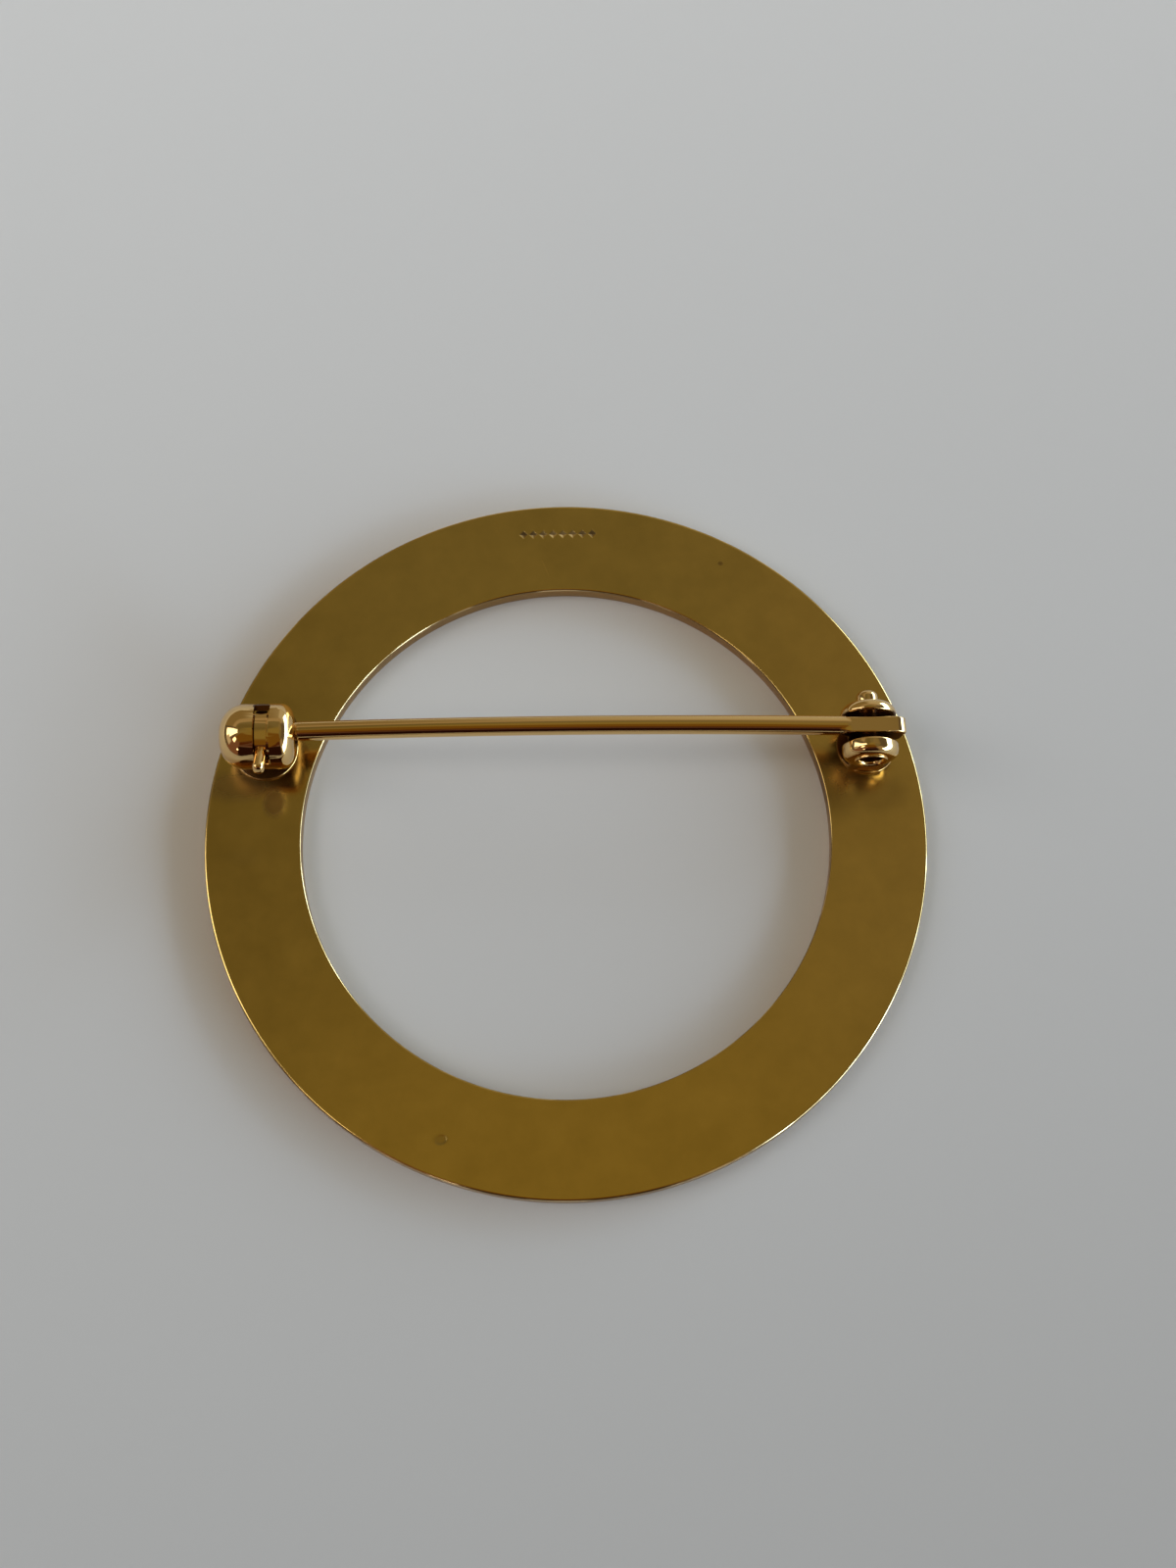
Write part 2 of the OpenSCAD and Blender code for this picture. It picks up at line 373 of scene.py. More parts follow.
def finishes() -> dict[Slot, bpy.types.Material]:
    """Make the gold materials.

    Returns:
        The material for each slot.
    """
    worn = (
        Mark(-6.89, -16.66, 0.34, 0.26, 20.0, 0.3),  # A shallow pit
        Mark(-0.9, 16.1, 0.8, 0.05, -68.0, 0.07),  # A fine scratch
    )
    # Painted shade: darker, duller metal between the ears, in the sunk end, on the bases and under the
    # barrel, where the pieces shade each other.
    recess_shade = (
        ShadeAndStain((16.8, 4.91, 2.6), (1.75, 0.88, 1.62)),  # Between the joint's ears
        ShadeAndStain((16.79, 3.85, 3.3), (0.7, 0.5, 0.7), soft=0.1),  # In the near ear's sunk end
        ShadeAndStain((16.9, 5.0, 1.35), (2.0, 1.55, 0.34), strength=0.8),  # On the joint's base
        ShadeAndStain((16.9, 4.83, 1.85), (2.0, 1.9, 0.6), strength=0.5),  # Round the ears' necks
        ShadeAndStain((-16.6, 5.24, 1.84), (2.3, 2.0, 0.62), strength=0.8),  # Under the barrel
        ShadeAndStain((-15.0, 5.24, 2.0), (0.75, 2.0, 0.75), strength=0.65, soft=0.3),  # Under its open end
        ShadeAndStain((-17.3, 3.7, 1.1), (1.9, 0.5, 0.2), strength=0.5, soft=0.5),  # On the foot's near edge
        ShadeAndStain((-16.53, 6.62, 4.35), (0.47, 0.5, 0.45), boxed=False),  # At the slot's far end
    )
    # Dark patches on the ring's back: the first four are painted shade and dark reflection beside the
    # joint, the barrel and the thumb lever; the fifth is a faint darker patch on the band's left; the last
    # two are a real dark dot and the stain in the pit.
    thick = 1.0
    back_shade_and_stains = tuple(
        ShadeAndStain((x, y, thick), (wide, deep, thick), False, strength, soft)
        for x, y, wide, deep, strength, soft in (
            (14.6, 2.7, 2.2, 1.7, 0.5, 1.2),  # Left of the joint
            (17.4, 2.0, 1.6, 1.0, 0.25, 1.0),  # On the joint's near side
            (-18.2, 3.15, 2.0, 0.85, 0.55, 0.9),  # On the catch's near side
            (-16.2, 2.1, 0.62, 0.8, 0.65, 0.7),  # Under the thumb lever
            (-17.8, -1.0, 0.9, 0.5, 0.12, 1.2),  # A faint one on the band's left
            (9.21, 16.17, 0.14, 0.12, 0.6, 0.8),  # A dark dot
            (-6.89, -16.66, 0.38, 0.28, 0.2, 0.8),  # In the pit
        )
    )
    satin = GoldFinish(
        name="gold_back",
        tint=(0.68, 0.46, 0.14),
        roughness=0.15,
        mottle=0.18,
        grain=0.045,
        marks=worn,
        shade_and_stain_spots=back_shade_and_stains,
        edge=(0.86, 0.65, 0.34),
    )
    polished = GoldFinish("gold_bright", (0.8, 0.54, 0.23), roughness=0.07, grain=0.008, shade_and_stain_spots=recess_shade)
    return {Slot.SATIN: satin.make(), Slot.POLISHED: polished.make()}


# Shapes


def added(name: str, data: bpy.types.ID) -> Solid:
    """Put a new object in the scene.

    Args:
        name: The object's name.
        data: Its mesh or its camera.

    Returns:
        The new object.
    """
    made = bpy.data.objects.new(name, data)
    bpy.context.scene.collection.objects.link(made)
    return made


class Shop:
    """Makes and finishes plain meshes. Sizes are in millimetres in and metres out."""

    @staticmethod
    def put(name: str, bm: bmesh.types.BMesh, place: Optional[Matrix] = None) -> Solid:
        """Turn a bmesh into an object.

        Args:
            name: The object's name.
            bm: The shape, in millimetres, which is freed.
            place: Where it goes.

        Returns:
            The new object.
        """
        bmesh.ops.transform(bm, matrix=Matrix.Scale(MM, 4) @ (place or Matrix.Identity(4)), verts=bm.verts)
        bmesh.ops.recalc_face_normals(bm, faces=bm.faces)
        mesh = bpy.data.meshes.new(name)
        bm.to_mesh(mesh)
        bm.free()
        return added(name, mesh)

    @staticmethod
    def lathe(
        name: str,
        profile: Sequence[Point],
        place: Matrix,
        steps: int = 96,
        start: float = 0.0,
        sweep: float = 360.0,
    ) -> Solid:
        """Turn a profile about local Z.

        Args:
            name: The object's name.
            profile: (radius, height) points. A full turn's may start and end on the axis.
            place: Where the local frame goes.
            steps: How many steps a full turn takes.
            start: The angle that it starts at, in degrees.
            sweep: The angle that it turns through, in degrees.

        Returns:
            The new closed mesh.
        """
        bm = bmesh.new()
        on_axis = 1e-6
        full = sweep >= 360.0
        count = max(3, round(steps * sweep / 360.0))
        columns, shared = [], {}
        for i in range(count if full else count + 1):
            angle = math.radians(start + sweep * i / count)
            column = []
            for j, (r, z) in enumerate(profile):
                if r < on_axis:
                    if j not in shared:
                        shared[j] = bm.verts.new((0.0, 0.0, z))
                    column.append(shared[j])
                else:
                    column.append(bm.verts.new((r * math.cos(angle), r * math.sin(angle), z)))
            columns.append(column)
        after = columns[1:] + columns[:1] if full else columns[1:]
        sides = len(profile) - 1 if shared else len(profile)
        for a, b in zip(columns, after):
            for j in range(sides):
                k = (j + 1) % len(profile)
                corners = list(dict.fromkeys((a[j], a[k], b[k], b[j])))
                if len(corners) > 2:
                    bm.faces.new(corners)
        if not full:
            bm.faces.new(columns[0])
            bm.faces.new(columns[-1])
        return Shop.put(name, bm, place)

    @staticmethod
    def loft(name: str, rings: Sequence[Sequence[Triple]], place: Optional[Matrix] = None) -> Solid:
        """Join outlines of as many corners in a row, and close both ends.

        Args:
            name: The object's name.
            rings: The outlines, each with its corners in order.
            place: Where the local frame goes.

        Returns:
            The new closed mesh.
        """
        bm = bmesh.new()
        made = [[bm.verts.new(corner) for corner in ring] for ring in rings]
        bm.faces.new(made[0])
        bm.faces.new(made[-1])
        for one, other in zip(made, made[1:]):
            for i in range(len(one)):
                j = (i + 1) % len(one)
                bm.faces.new((one[i], one[j], other[j], other[i]))
        return Shop.put(name, bm, place)

    @staticmethod
    def prism(name: str, outline: Sequence[Point], height: float, place: Matrix) -> Solid:
        """An outline, given by its corners in order, raised along local Z into a closed mesh."""
        return Shop.loft(name, [[(x, y, z) for x, y in outline] for z in (0.0, height)], place)

    @staticmethod
    def block(name: str, low: Sequence[float], high: Sequence[float]) -> Solid:
        """A box between its lowest and its highest corner."""
        outline = oblong(low[0], high[0], low[1], high[1])
        return Shop.prism(name, outline, high[2] - low[2], Matrix.Translation((0.0, 0.0, low[2])))

    @staticmethod
    def settle(obj: Solid) -> Solid:
        """Turn an object's modifiers into plain mesh.

        Args:
            obj: The object.

        Returns:
            The same object with no modifiers.
        """
        graph = bpy.context.evaluated_depsgraph_get()
        graph.update()
        mesh = bpy.data.meshes.new_from_object(obj.evaluated_get(graph), depsgraph=graph)
        obj.modifiers.clear()
        old = obj.data
        obj.data = mesh
        if old.users == 0:
            bpy.data.meshes.remove(old)
        return obj

    @staticmethod
    def combine(obj: Solid, operation: str, *others: Solid) -> None:
        """Join other solids to one, or cut them away, in their order.

        Args:
            obj: The solid that is kept.
            operation: UNION or DIFFERENCE.
            others: The solids that are used up.
        """
        for other in others:
            step = obj.modifiers.new("combine", "BOOLEAN")
            step.operation = operation
            step.solver = "EXACT"
            step.object = other
            Shop.settle(obj)
            bpy.data.objects.remove(other)

    @staticmethod
    def soften(obj: Solid, width: float, segments: int, angle: float) -> Solid:
        """Round an object's sharp edges.

        Args:
            obj: The object.
            width: The rounding's width.
            segments: How many steps it takes.
            angle: The least angle of an edge that is rounded, in degrees.

        Returns:
            The same object.
        """
        step = obj.modifiers.new("soften", "BEVEL")
        step.width = width * MM
        step.segments = segments
        step.limit_method = "ANGLE"
        step.angle_limit = math.radians(angle)
        step.use_clamp_overlap = True
        return Shop.settle(obj)

    @staticmethod
    def smooth(obj: Solid, angle: float = 40.0) -> Solid:
        """Shade an object smooth with its sharp edges kept, and flat faces flat.

        Args:
            obj: The object.
            angle: The least angle of an edge that stays sharp, in degrees.

        Returns:
            The same object.
        """
        obj.data.polygons.foreach_set("use_smooth", [True] * len(obj.data.polygons))
        obj.data.set_sharp_from_angle(angle=math.radians(angle))
        step = obj.modifiers.new("weigh", "WEIGHTED_NORMAL")
        step.keep_sharp = True
        return Shop.settle(obj)


def arc(cx: float, cy: float, r: float, a: float, b: float, steps: int, squash: float = 1.0) -> list[Point]:
    """Points along an arc of a circle or an ellipse.

    Args:
        cx: The centre's first coordinate.
        cy: The centre's second coordinate.
        r: The radius along the first coordinate.
        a: The first angle, in degrees.
        b: The last angle.
        steps: How many steps to take.
        squash: The second radius as a share of the first.

    Returns:
        The points, both ends included.
    """
    turn = [math.radians(a + (b - a) * i / steps) for i in range(steps + 1)]
    return [(cx + r * math.cos(t), cy + squash * r * math.sin(t)) for t in turn]


def disc(r: float, tall: float, under: float, over: float, steps: int = 4) -> list[Point]:
    """The profile of a disc with rounded edges.

    Args:
        r: The disc's radius.
        tall: Its height.
        under: The rounding of its lower edge, or zero.
        over: The rounding of its upper edge.
        steps: How many steps a rounding takes.

    Returns:
        The points, from the axis out and back to it.
    """
    lower = arc(r - under, under, under, -90, 0, steps) if under else [(r, 0.0)]
    return [(0.0, 0.0), *lower, *arc(r - over, tall - over, over, 0, 90, steps), (0.0, tall)]


def oblong(x0: float, x1: float, y0: float, y1: float) -> list[Point]:
    """The corners of an oblong, in order."""
    return [(x0, y0), (x1, y0), (x1, y1), (x0, y1)]


@dataclass
class Sweep:
    """A geometry node set-up with named inputs, run once.

    Attributes:
        name: The node tree's name.
        sizes: The inputs' values by name. A whole number makes a whole number's input.
        tree: The node tree.
        graph: What its nodes are written with.
        given: The inputs' sockets by name.
    """

    name: str
    sizes: dict[str, float]
    tree: bpy.types.NodeTree = field(init=False)
    graph: Graph = field(init=False)
    given: Mapping[str, Socket] = field(init=False)

    def __post_init__(self) -> None:
        """Make the tree and its inputs."""
        self.tree = bpy.data.node_groups.new(self.name, "GeometryNodeTree")
        face = self.tree.interface
        face.new_socket("Geometry", in_out="OUTPUT", socket_type="NodeSocketGeometry")
        for name, size in self.sizes.items():
            kind = "NodeSocketInt" if isinstance(size, int) else "NodeSocketFloat"
            face.new_socket(name, in_out="INPUT", socket_type=kind)
        self.graph = Graph(self.tree)
        self.given = self.graph.node("NodeGroupInput").outputs

    def finish(self, result: Socket) -> Solid:
        """End the tree, run it and keep the result as plain mesh.

        Args:
            result: The geometry to keep.

        Returns:
            The new object.
        """
        g = self.graph
        real = g.node("GeometryNodeRealizeInstances", {0: result})
        paint = g.node("GeometryNodeSetMaterial", {"Geometry": real.outputs[0]})
        g.node("NodeGroupOutput", {0: paint.outputs[0]})
        obj = added(self.name, bpy.data.meshes.new(self.name))
        step = obj.modifiers.new("sweep", "NODES")
        step.node_group = self.tree
        for item in self.tree.interface.items_tree:
            if item.item_type == "SOCKET" and item.in_out == "INPUT":
                step[item.identifier] = self.sizes[item.name]
        return Shop.settle(obj)


# Pieces


@dataclass
class SubAssembly:
    """A piece of the brooch that rides on one body.

    Attributes:
        name: The piece's name.
        body: The body that it rides on.
        node: The construction node that it stands for.
        slot: Its material slot.
        made: The built object.
    """

    name: str
    body: Body
    node: str
    slot: Slot = Slot.POLISHED
    made: Optional[Solid] = None

    def build(self) -> None:
        """Make the mesh."""
        raise NotImplementedError

    def dress(self, materials: dict[Slot, bpy.types.Material]) -> None:
        """Give the piece its material and put it on its body.

        Args:
            materials: The material for each slot.
        """
        obj = self.made
        obj.data.materials.clear()
        obj.data.materials.append(materials[self.slot])
        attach(obj, self.body.value)
        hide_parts(self.node)
        LOG.info("%s: %d faces on %s", obj.name, len(obj.data.polygons), self.body.value)


@dataclass
class RivetedPiece(SubAssembly):
    """A piece that sits on the rivet's axis.

    Attributes:
        x: The axis's place along the pin.
        z: The axis's height.
    """

    x: float = 16.79
    z: float = 3.3

    def across(self, y: float) -> Matrix:
        """The frame on the axis at a place across the pin, with its Z toward +Y."""
        return Matrix.Translation((self.x, y, self.z)) @ Matrix.Rotation(math.radians(-90.0), 4, "X")


@dataclass
class CatchPiece(SubAssembly):
    """A piece that sits on the barrel's axis.

    Attributes:
        mouth: The barrel's open end, along the pin.
        y: The axis's place across the pin.
        z: The axis's height.
    """

    mouth: float = -14.77
    y: float = 5.24
    z: float = 3.25

    def along(self) -> Matrix:
        """The frame on the axis at the open end, with its Z toward -X and its X up."""
        end = Matrix.Translation((self.mouth, self.y, self.z))
        return end @ Matrix.Rotation(math.radians(-90.0), 4, "Y")


@dataclass
class RingBand(SubAssembly):
    """The flat round band with a row of small punch marks on its back.

    Attributes:
        outer: Its outside radius.
        band: Its width.
        thick: Its thickness.
        outer_edge: The rounding of the outer edge on its back.
        inner_edge: The rounding of the inner edge on its back.
        lower_edge: The rounding of the edges of its face.
        turns: Steps round the ring.
        punches: How many punch marks there are.
        punch_r: Half a punch mark's width.
        punch_depth: How deep it goes.
        punch_first: The first punch mark's place along X.
        punch_step: The step from one to the next.
        punch_y: The row's place.
    """

    name: str = "ring_band"
    body: Body = Body.FRAME
    node: str = "brooch_frame"
    slot: Slot = Slot.SATIN
    outer: float = 20.0
    band: float = 5.33
    thick: float = 1.0
    outer_edge: float = 0.14
    inner_edge: float = 0.1
    lower_edge: float = 0.12
    turns: int = 360
    punches: int = 8
    punch_r: float = 0.28
    punch_depth: float = 0.1
    punch_first: float = -2.16
    punch_step: float = 0.57
    punch_y: float = 18.2

    def build(self) -> None:
        """Sweep a rounded section round a circle with geometry nodes, then sink the punch marks."""
        sizes = {
            "Middle Radius": self.outer - self.band / 2,
            "Band Width": self.band,
            "Thickness": self.thick,
            "Outer Rounding": self.outer_edge,
            "Inner Rounding": self.inner_edge,
            "Lower Rounding": self.lower_edge,
            "Punch Radius": self.punch_r,
            "Punch Depth": self.punch_depth,
            "First Punch": self.punch_first,
            "Punch Step": self.punch_step,
            "Punch Row": self.punch_y,
        }
        counts = {"Turns": self.turns, "Punches": self.punches}
        sweep = Sweep(self.name, {key: size * MM for key, size in sizes.items()} | counts)
        solids = {"Mesh 1": self._band(sweep), "Mesh 2": self._punches(sweep)}
        cut = sweep.graph.node("GeometryNodeMeshBoolean", solids, operation="DIFFERENCE", solver="EXACT")
        self.made = Shop.smooth(sweep.finish(cut.outputs[0]), 20.0)

    @staticmethod
    def _band(sweep: Sweep) -> Socket:
        """Write the nodes of the band.

        Args:
            sweep: The set-up with the inputs.

        Returns:
            The band's geometry.
        """
        g, given = sweep.graph, sweep.given
        path = {"Radius": given["Middle Radius"], "Resolution": given["Turns"]}
        circle = g.node("GeometryNodeCurvePrimitiveCircle", path, mode="RADIUS")
        size = {"Width": given["Band Width"], "Height": given["Thickness"]}
        section = g.node("GeometryNodeCurvePrimitiveQuadrilateral", size, mode="RECTANGLE")
        x, y, _ = g.split(g.node("GeometryNodeInputPosition").outputs[0])
        is_outer = g.math("GREATER_THAN", x, 0.0)
        is_lower = g.math("GREATER_THAN", y, 0.0)
        radius = g.blend(is_outer, given["Inner Rounding"], given["Outer Rounding"], "FLOAT")
        radius = g.blend(is_lower, radius, given["Lower Rounding"], "FLOAT")
        corners = {"Curve": section.outputs[0], "Count": 6, "Radius": radius}
        rounded = g.node("GeometryNodeFilletCurve", corners, mode="POLY")
        curves = {"Curve": circle.outputs[0], "Profile Curve": rounded.outputs[0]}
        swept = g.node("GeometryNodeCurveToMesh", curves)
        lift = g.vector(0.0, 0.0, g.math("MULTIPLY", given["Thickness"], 0.5))
        raised = {"Geometry": swept.outputs[0], "Translation": lift}
        return g.node("GeometryNodeTransform", raised).outputs[0]

    @staticmethod
    def _punches(sweep: Sweep) -> Socket:
        """Write the nodes of the punch marks.

        Args:
            sweep: The set-up with the inputs.

        Returns:
            The small pointed solids that are cut away.
        """
        g, given = sweep.graph, sweep.given
        start = g.vector(given["First Punch"], given["Punch Row"], given["Thickness"])
        offset = g.vector(given["Punch Step"], 0.0, 0.0)
        line = {"Count": given["Punches"], "Start Location": start, "Offset": offset}
        row = g.node("GeometryNodeMeshLine", line, mode="OFFSET")
        point = {
            "Vertices": 4,
            "Radius Bottom": 0.0,
            "Radius Top": g.math("MULTIPLY", given["Punch Radius"], 2.0),
            "Depth": g.math("MULTIPLY", given["Punch Depth"], 2.0),
        }
        cone = g.node("GeometryNodeMeshCone", point)
        down = g.vector(0.0, 0.0, g.math("MULTIPLY", given["Punch Depth"], -1.0))
        sunk = g.node("GeometryNodeTransform", {"Geometry": cone.outputs[0], "Translation": down})
        pairs = {"Points": row.outputs[0], "Instance": sunk.outputs[0]}
        placed = g.node("GeometryNodeInstanceOnPoints", pairs)
        return g.node("GeometryNodeRealizeInstances", {0: placed.outputs[0]}).outputs[0]


@dataclass
class PinJoint(RivetedPiece):
    """The round base plate and the two round ears that hold the rivet.

    Attributes:
        near: The near ear's faces, across the pin.
        far: The far ear's faces, across the pin.
        ear_r: The ears' radius.
        outside: The rounding of the near and the far ear's outside edge.
        inside: The rounding of the ears' inside edges.
        neck: Half the width of the ears' necks.
        neck_span: The necks' lowest and highest points.
        inset: How far the necks stand back from the ears' outside and inside faces.
        base: The base plate's middle.
        base_r: The base plate's radius.
        base_top: The base plate's height.
        root: How low the base plate starts inside the ring.
        fine: The rounding of the base plate's and the rim's edges.
        bore: The bore's radius.
        recess: The sunk end's radius and depth.
        flare: The radius of the sunk end's mouth.
        rim: How far the raised rim stands round that mouth and out of the ear.
    """

    name: str = "pin_joint"
    body: Body = Body.FRAME
    node: str = "brooch_frame"
    near: Point = (3.24, 4.12)
    far: Point = (5.7, 6.42)
    ear_r: float = 1.54
    outside: Point = (0.5, 0.58)
    inside: float = 0.12
    neck: float = 0.95
    neck_span: Point = (0.9, 2.1)
    inset: Point = (0.18, 0.06)
    base: Point = (16.94, 4.83)
    base_r: float = 1.65
    base_top: float = 1.14
    root: float = 0.8
    fine: float = 0.06
    bore: float = 0.5
    recess: Point = (0.64, 0.5)
    flare: float = 0.84
    rim: Point = (0.08, 0.1)

    def build(self) -> None:
        """Join base, necks, ears and rim, then cut the bore and the sunk end."""
        plate = disc(self.base_r, self.base_top - self.root, 0.0, self.fine)
        obj = Shop.lathe(self.name, plate, Matrix.Translation((*self.base, self.root)))
        under, over = self.neck_span
        for (y0, y1), (a, b) in ((self.near, self.inset), (self.far, self.inset[::-1])):
            low, high = (self.x - self.neck, y0 + a, under), (self.x + self.neck, y1 - b, over)
            Shop.combine(obj, "UNION", Shop.block("neck", low, high))
        near_ear = self._ear(self.near, self.outside[0], self.inside)
        far_ear = self._ear(self.far, self.inside, self.outside[1])
        (wide, out), e = self.rim, self.fine
        lip = self.flare + wide
        rim = [(0.0, 0.0), *arc(lip - e, e, e, -90, 0, 4), (lip, 0.14), (lip + 0.12, 0.4), (0.0, 0.4)]
        raised = Shop.lathe("rim", rim, self.across(self.near[0] - out), 64)
        Shop.combine(obj, "UNION", near_ear, far_ear, raised)
        radius, depth = self.recess
        sunk = [
            (0.0, -1.0),
            (self.flare + 0.1, -1.0),
            (self.flare, -out),
            *arc(self.flare, 0.14, self.flare - radius, 230, 180, 4),
            (radius, depth),
            (self.bore, depth),
            (self.bore, 6.0),
            (0.0, 6.0),
        ]
        Shop.combine(obj, "DIFFERENCE", Shop.lathe("sunk", sunk, self.across(self.near[0]), 64))
        Shop.soften(obj, width=0.04, segments=2, angle=38.0)
        self.made = Shop.smooth(obj)

    def _ear(self, faces: Point, near_edge: float, far_edge: float) -> Solid:
        """One round ear between its near and far face, with the rounding of each face's edge."""
        profile = disc(self.ear_r, faces[1] - faces[0], near_edge, far_edge, 10)
        return Shop.lathe("ear", profile, self.across(faces[0]))


@dataclass
class CatchHousing(CatchPiece):
    """The round barrel of the safety catch on its foot.

    Attributes:
        r: The outside radius.
        length: The barrel's length.
        dome: The radius of the closed end's curve.
        lip: The open end's curve along the axis and toward it.
        bore: The bore's radius.
        bore_span: The bore's ends, from the open end.
        cap: The closed end's thickness, and the radius of the narrow hollow behind the bore.
        gap: The height of the mouth.
        slot_span: The slot's edges, from the open end.
        slot_turn: The slot's first and last angle.
        root: How low the foot and its post start inside the ring.
        post: Half the width of the post between the foot and the barrel.
        post_ends: How far the post stands back from the barrel's closed and open ends.
        post_top: The post's height.
        foot_r: The round foot's radius.
        foot_tall: The round foot's height from its root.
        foot_edge: The rounding of its edge.
    """

    name: str = "catch_housing"
    body: Body = Body.FRAME
    node: str = "brooch_frame"
    r: float = 1.8
    length: float = 4.16
    dome: float = 1.4
    lip: Point = (0.75, 1.0)
    bore: float = 1.5
    bore_span: Point = (0.42, 2.98)
    cap: float = 0.62
    gap: float = 1.3
    slot_span: Point = (1.27, 2.13)
    slot_turn: Point = (13.0, 142.0)
    root: float = 0.8
    post: float = 0.75
    post_ends: Point = (0.85, 0.75)
    post_top: float = 1.68
    foot_r: float = 1.82
    foot_tall: float = 0.34
    foot_edge: float = 0.06

    def build(self) -> None:
        """Turn the barrel, join its foot, then cut the bore, the mouth and the slot."""
        place, r, n = self.along(), self.r, self.length
        far = self.mouth - n
        lip_long, lip_deep = self.lip
        outside = [
            (0.0, 0.0),
            *arc(r - lip_deep, lip_long, lip_deep, -90, 0, 12, lip_long / lip_deep),
            *arc(r - self.dome, n - self.dome, self.dome, 0, 90, 16),
            (0.0, n),
        ]
        obj = Shop.lathe(self.name, outside, place, 128)
        closed, opened = self.post_ends
        low = (far + closed, self.y - self.post, self.root)
        high = (self.mouth - opened, self.y + self.post, self.post_top)
        post = Shop.block("post", low, high)
        middle = Matrix.Translation((self.mouth - n / 2 + 0.1, self.y, self.root))
        foot = Shop.lathe("foot", disc(self.foot_r, self.foot_tall, 0.0, self.foot_edge), middle)
        Shop.combine(obj, "UNION", post, foot)
        b, c = self.bore, self.cap
        first, last = self.bore_span
        inside = [(0.0, first), (b, first), (b, last), (c, last + 0.1), (c, n - c), (0.0, n - c)]
        bore = Shop.lathe("bore", inside, place)
        half = self.gap / 2
        hole = Shop.lathe("hole", oblong(0.0, half, -1.0, 1.0), place, 64)
        low, high = (far + c, self.y, self.z - half), (self.mouth + 1.0, self.y + 2.8, self.z + half)
        gap = Shop.block("gap", low, high)
        ring = oblong(self.bore - 0.1, 2.3, *self.slot_span)
        first, last = self.slot_turn
        slot = Shop.lathe("slot", ring, place, 128, first - 90.0, last - first)
        Shop.combine(obj, "DIFFERENCE", bore, hole, gap, slot)
        Shop.soften(obj, width=0.05, segments=3, angle=32.0)
        self.made = Shop.smooth(obj)


@dataclass
class Rivet(RivetedPiece):
    """The pivot through the ears.

    Attributes:
        start: Its sunk end.
        head: The button head's near face.
        end: The button head's end.
        shaft_r: The shaft's radius.
        spread_r: The radius of the spread end.
        head_r: The button head's radius.
        dome: The rounding of the button head's end.
    """

    name: str = "rivet_pin"
    body: Body = Body.PIVOT
    node: str = "rivet"
    start: float = 3.56
    head: float = 6.46
    end: float = 7.2
    shaft_r: float = 0.45
    spread_r: float = 0.56
    head_r: float = 0.59
    dome: float = 0.32

    def build(self) -> None:
        """Turn the shaft with its spread end and its button head."""
        n, low = self.end - self.start, self.head - self.start
        spread, thin = 0.08, 0.04
        profile = [
            (0.0, 0.0),
            *arc(self.spread_r - spread, spread, spread, -90, 0, 4),
            (self.spread_r, 0.14),
            (self.shaft_r, 0.14),
            (self.shaft_r, low),
            *arc(self.head_r - thin, low + thin, thin, -90, 0, 4),
            *arc(self.head_r - self.dome, n - self.dome, self.dome, 0, 90, 10),
            (0.0, n),
        ]
        self.made = Shop.smooth(Shop.lathe(self.name, profile, self.across(self.start), 64))


